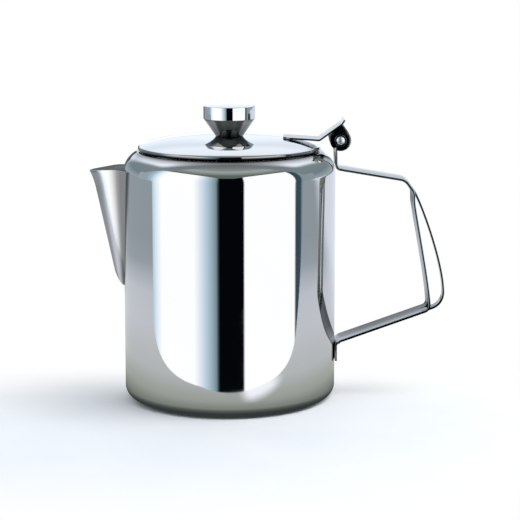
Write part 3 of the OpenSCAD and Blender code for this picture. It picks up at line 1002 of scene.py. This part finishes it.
def thickened(obj, thickness, offset, bevel=0.0, segments=2, inside=None):
    """Gives a sheet its thickness, softens its sheared edges and may finish its inside apart."""
    solid = obj.modifiers.new("sheet", "SOLIDIFY")
    solid.thickness = thickness
    solid.offset = offset
    solid.use_even_offset = True
    if inside:
        obj.data.materials.append(inside)
        solid.material_offset = 1
    if bevel:
        soft = obj.modifiers.new("edges", "BEVEL")
        soft.width = bevel
        soft.segments = segments
        soft.limit_method = "ANGLE"
        soft.angle_limit = math.radians(50)
        soft.harden_normals = False
    return baked(obj)


spout = link("spout_shell", spout_shell(), satin_steel)
thickened(spout, sheet_t, -1, 0.22 * MM, inside=inner_steel)
spout.data.shade_smooth()
spout.data.set_sharp_from_angle(angle=math.radians(50))
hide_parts("spout")
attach(spout, "pot")
print("spout faces", len(spout.data.polygons), "tip", round(min(v.co.x for v in spout.data.vertices), 4))

# %% [markdown]
# The handle is one long strip. Seen from the side it is a line of bends; its grip is slit
# into three, and the middle strip bows outwards from the two side ones. So the mesh is a
# grid too: columns across the strip, where each column follows the side line or the middle
# line, and the narrow columns over the slits exist only where the strip is whole.

# %% Handle lines
arm_slope = 0.167
low_slope = 0.359
arm_low = 30.1 * MM
leaf_half = 7.2 * MM
play = 0.05 * MM
curl_r = pin_r + play + strip_t / 2 - 0.03 * MM


def low_at(x):
    """Height of the lower arm, which falls towards the wall."""
    return arm_low + low_slope * (x - body_r - 0.6 * MM)


def shifted(p, dx, dz):
    """A point moved by millimetres."""
    return Vector((p[0] + dx * MM, p[1] + dz * MM))


leaf_top = Vector((pin_x - curl_r, pin_z))
leaf_low = Vector((body_r + 0.5 * MM, wall_top + 2.95 * MM))
corner_top = shifted(leaf_low, 37.8, -37.8 * arm_slope)
split = shifted(corner_top, 4.2, -5.75)
side_low = Vector((body_r + 53 * MM, low_at(body_r + 53 * MM)))
side_end = shifted(side_low, 0, 2.9)
middle_low = Vector((body_r + 60.6 * MM, low_at(body_r + 60.6 * MM)))
middle_end = shifted(middle_low, 0, 6.4)
arm_end = Vector((body_r + 0.6 * MM, arm_low))
join = Vector((side_low.x - 5 * MM, low_at(side_low.x - 5 * MM)))
tab_end = Vector((arm_end.x, 20.2 * MM))

upper = arc((pin_x, pin_z), curl_r, -95, 176, 40)
upper += bend(leaf_top, leaf_low, corner_top, 2.4 * MM, 12)
upper += bend(leaf_low, corner_top, split, 6 * MM, 16) + [split]
side_line = curve(split, shifted(split, 1.5, -2.05), shifted(split, 0.8, -5), shifted(split, 1.2, -8), 12)
side_line += curve(shifted(split, 1.25, -8.4), shifted(split, 2.5, -17), shifted(side_end, -1, 14),
                   side_end, 40)
side_line += bend(side_end, side_low, arm_end, 4 * MM, 14)
middle_line = curve(split, shifted(split, 4.6, -6.3), shifted(middle_end, 0, 16), middle_end, 48)
middle_line += bend(middle_end, middle_low, arm_end, 9 * MM, 18)
lower = [join] + bend(join, arm_end, tab_end, 1.8 * MM, 10) + [tab_end]


print("points along the side strips", len(side_line), "and the middle one", len(middle_line))

# %% Equal steps along a line
def measured(points, count):
    """The line cut into count equal steps."""
    points = [Vector(p) for p in points]
    lengths = [0.0]
    for a, b in zip(points, points[1:]):
        lengths.append(lengths[-1] + (b - a).length)
    out, k = [], 0
    for i in range(count + 1):
        want = lengths[-1] * i / count
        while k < len(points) - 2 and lengths[k + 1] < want:
            k += 1
        span = lengths[k + 1] - lengths[k]
        out.append(points[k].lerp(points[k + 1], 0 if span == 0 else (want - lengths[k]) / span))
    return out


print("first step along the middle strip", round((measured(middle_line, 10)[1] - split).length, 4))

# %% [markdown]
# Across the strip the columns stand closer at the slits than elsewhere. A slight crown, high
# in the middle, is what pressing leaves; it makes the light slide along the arm, where a
# dead flat strip would flash all at once. The curl and the tab stay flat.

# %% Columns and rows of the strip
middle_half = 3.1 * MM
slit_w = 0.4 * MM
crown_high = 0.9 * MM
top_rows = 200
grip_rows = 150
low_rows = 110
tab_share = 0.8
curl_points = 41


def strip_columns():
    """Places across the strip, and whether a column belongs to the middle strip."""
    edge = middle_half + slit_w
    side = [edge + (strip_half - edge) * i / 6 for i in range(7)]
    inner = [middle_half * (2 * i / 8 - 1) for i in range(9)]
    return [(-y, False) for y in reversed(side)] + [(y, True) for y in inner] + [(y, False) for y in side]


def smooth_step(t):
    """A soft change from 0 to 1."""
    t = max(0.0, min(1.0, t))
    return t * t * (3 - 2 * t)


def measured_share(points, count):
    """Share of a line's length that its first count points make up."""
    lengths = [(Vector(b) - Vector(a)).length for a, b in zip(points, points[1:])]
    return sum(lengths[:count - 1]) / sum(lengths)


def handle_rows(bm, lines, columns):
    """One row of points across the strip for each step along it."""
    curl_share = measured_share(upper, curl_points)
    total = len(lines[True])
    rows = []
    for i in range(total):
        flat = i / top_rows < curl_share or i > top_rows + grip_rows + low_rows * tab_share
        widen = smooth_step((i / top_rows - curl_share) / 0.09) if i <= top_rows else 1.0
        half = leaf_half + (strip_half - leaf_half) * widen
        row = []
        for y, middle_one in columns:
            line = lines[middle_one]
            heading = (line[min(i + 1, total - 1)] - line[max(i - 1, 0)]).normalized()
            share = y / strip_half
            lift = 0 if flat else crown_high * (0.5 - share * share)
            place = line[i] + Vector((-heading.y, heading.x)) * lift
            row.append(bm.verts.new((place.x, share * half, place.y)))
        rows.append(row)
    return rows


print("columns across the strip", len(strip_columns()))

# %% Handle strip
def handle_mesh():
    """The strip as one grid; the cells over the slits are left out along the grip."""
    top = measured(upper, top_rows)
    side_grip = measured([split] + side_line + [join], grip_rows)
    middle_grip = measured([split] + middle_line + [join], grip_rows)
    end = measured(lower, low_rows)
    lines = {False: top + side_grip[1:] + end[1:], True: top + middle_grip[1:] + end[1:]}
    columns = strip_columns()
    bm = bmesh.new()
    rows = handle_rows(bm, lines, columns)
    for i in range(len(rows) - 1):
        slit = top_rows + 2 <= i < top_rows + grip_rows - 1
        for k in range(len(columns) - 1):
            if not (slit and columns[k][1] != columns[k + 1][1]):
                bm.faces.new((rows[i][k], rows[i + 1][k], rows[i + 1][k + 1], rows[i][k + 1]))
    bmesh.ops.recalc_face_normals(bm, faces=bm.faces)
    return plain_mesh("handle", bm)


handle = link("handle", handle_mesh(), handle_steel)
thickened(handle, strip_t, 0, 0.25 * MM)
handle.data.shade_smooth()
handle.data.set_sharp_from_angle(angle=math.radians(50))
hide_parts("handle_strip")
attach(handle, "pot")
print("handle faces", len(handle.data.polygons))

# %% [markdown]
# The hinge bracket is folded from one piece: a tongue on the lid, a slope, a thumb piece
# and two round ears that hold the pin. The folded sheet is a grid with thickness, like the
# strip; an ear is a flat outline with thickness and the same softened edges.

# %% Folded sheet of the bracket
bracket_t = 1 * MM
ear_r = 5.9 * MM
ear_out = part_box("hinge_bracket")[1].y
tongue_len = 20 * MM
tongue_fall = 1.3 * MM
tongue_x = pin_x - 11.6 * MM - tongue_len
tongue_start = Vector((tongue_x, dome_at(tongue_x) + bracket_t / 2 + 0.02 * MM))
slope_low = tongue_start + Vector((tongue_len, -tongue_fall))
slope_top = Vector((pin_x + 0.8 * MM, pin_z + 8.9 * MM))
thumb_tip = Vector((pin_x + 2.3 * MM, pin_z + 11.2 * MM))


def folded_mesh(name, line, half, columns=12, corner=4.5 * MM):
    """A sheet folded along a line seen from the side, with rounded corners at its far end."""
    bm = bmesh.new()
    rows = []
    run = 0.0
    for i, p in enumerate(line):
        run += (p - line[i - 1]).length if i else 0
        short = max(0.0, corner - run)
        width = half - corner + math.sqrt(max(0.0, corner ** 2 - short ** 2))
        rows.append([bm.verts.new((p.x, width * (2 * k / columns - 1), p.y)) for k in range(columns + 1)])
    for low, high in zip(rows, rows[1:]):
        for k in range(columns):
            bm.faces.new((low[k], high[k], high[k + 1], low[k + 1]))
    bmesh.ops.recalc_face_normals(bm, faces=bm.faces)
    return plain_mesh(name, bm)


line = [tongue_start] + bend(tongue_start, slope_low, slope_top, 1.5 * MM, 8)
line += bend(slope_low, slope_top, thumb_tip, 2 * MM, 8) + [thumb_tip]
line = spaced(line, 0.5 * MM)
bracket = link("bracket", folded_mesh("bracket", line, ear_out), bracket_steel)
thickened(bracket, bracket_t, 0, 0.2 * MM)
print("bracket half width", round(ear_out, 4))

# %% Ears of the bracket
ear_inset = 6 * MM
pin_play = 0.02 * MM


def touch(p, side):
    """Angle on the pin's circle where a line from p touches it."""
    v = Vector(p) - Vector((pin_x, pin_z))
    return math.degrees(math.atan2(v.y, v.x)) + side * math.degrees(math.acos(ear_r / v.length))


def ear_mesh(name, y_low, y_high):
    """A flat ear with the pin's hole, between two places across the hinge."""
    uphill = (slope_top - slope_low).normalized()
    left = slope_low + uphill * ear_inset
    outline = [left, slope_top] + arc((pin_x, pin_z), ear_r, touch(slope_top, -1), touch(left, 1) - 360, 48)
    hole = arc((pin_x, pin_z), pin_r + pin_play, 0, 360, 48)[:-1]
    bm = bmesh.new()
    sides = []
    for y in (y_low, y_high):
        loops = [[bm.verts.new((p[0], y, p[1])) for p in points] for points in (outline, hole)]
        edges = [bm.edges.new((loop[i - 1], loop[i])) for loop in loops for i in range(len(loop))]
        bmesh.ops.triangle_fill(bm, edges=edges, use_beauty=True)
        sides.append(loops)
    for a, b in zip(*sides):
        for i in range(len(a)):
            bm.faces.new((a[i - 1], a[i], b[i], b[i - 1]))
    bmesh.ops.recalc_face_normals(bm, faces=bm.faces)
    return plain_mesh(name, bm)


print("ear radius", round(ear_r, 4))

# %% Bracket
def joined(name, objects, material):
    """Several objects' meshes as one."""
    bm = bmesh.new()
    for o in objects:
        bm.from_mesh(o.data)
        bpy.data.objects.remove(o)
    return link(name, plain_mesh(name, bm), material)


plates = [bracket]
for side in (-1, 1):
    low, high = sorted((side * ear_out, side * (ear_out - bracket_t)))
    ear = link("ear", ear_mesh("ear", low, high), bracket_steel)
    soft = ear.modifiers.new("edges", "BEVEL")
    soft.width = 0.2 * MM
    soft.segments = 3
    soft.limit_method = "ANGLE"
    soft.angle_limit = math.radians(50)
    plates.append(baked(ear))
bracket = joined("hinge_plate", plates, bracket_steel)
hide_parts("hinge_bracket")
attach(bracket, "lid")
print("bracket faces", len(bracket.data.polygons))

# %% [markdown]
# The pin and its washers are turned about the hinge's own axis. The heads are low domes,
# which mirror the whole studio as a bright spot.

# %% Pin and washers
head_r = 2.3 * MM
head_h = 0.9 * MM
head_edge = 0.2 * MM
washer_t = 0.7 * MM
washer_r = 3.2 * MM
washer_bore = pin_r + 0.03 * MM
under_head = ear_out + washer_t + pin_play
half_pin = [(pin_r, 0), (pin_r, under_head), (head_r - 0.1 * MM, under_head), (head_r, under_head + 0.1 * MM)]
dome = [math.radians(a) for a in range(0, 90, 6)]
half_pin += [(head_r * math.cos(a), under_head + head_edge + (head_h - head_edge) * math.sin(a))
             for a in dome]
half_pin.append((0, under_head + head_h))
outline = [(r, -h) for r, h in reversed(half_pin)] + half_pin[1:]
pin = link("pin", turned_mesh("pin", outline, pin_steel, (pin_x, 0, pin_z), "Y", 64, closed=False), pin_steel)
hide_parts("hinge_pin")
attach(pin, "lid")
ring_outline = rounded([(washer_bore, 0), (washer_r, 0, 0.15), (washer_r, washer_t, 0.15),
                        (washer_bore, washer_t)], 0)
rings = []
for side in (-1, 1):
    outline = [(r, side * (ear_out + h)) for r, h in ring_outline]
    ring = turned_mesh("ring", outline, bracket_steel, (pin_x, 0, pin_z), "Y", 64)
    rings.append(link("ring", ring, bracket_steel))
washers = joined("pin_rings", rings, bracket_steel)
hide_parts("pin_washers")
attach(washers, "lid")
print("pin head", round(under_head + head_h, 4), "from the middle")
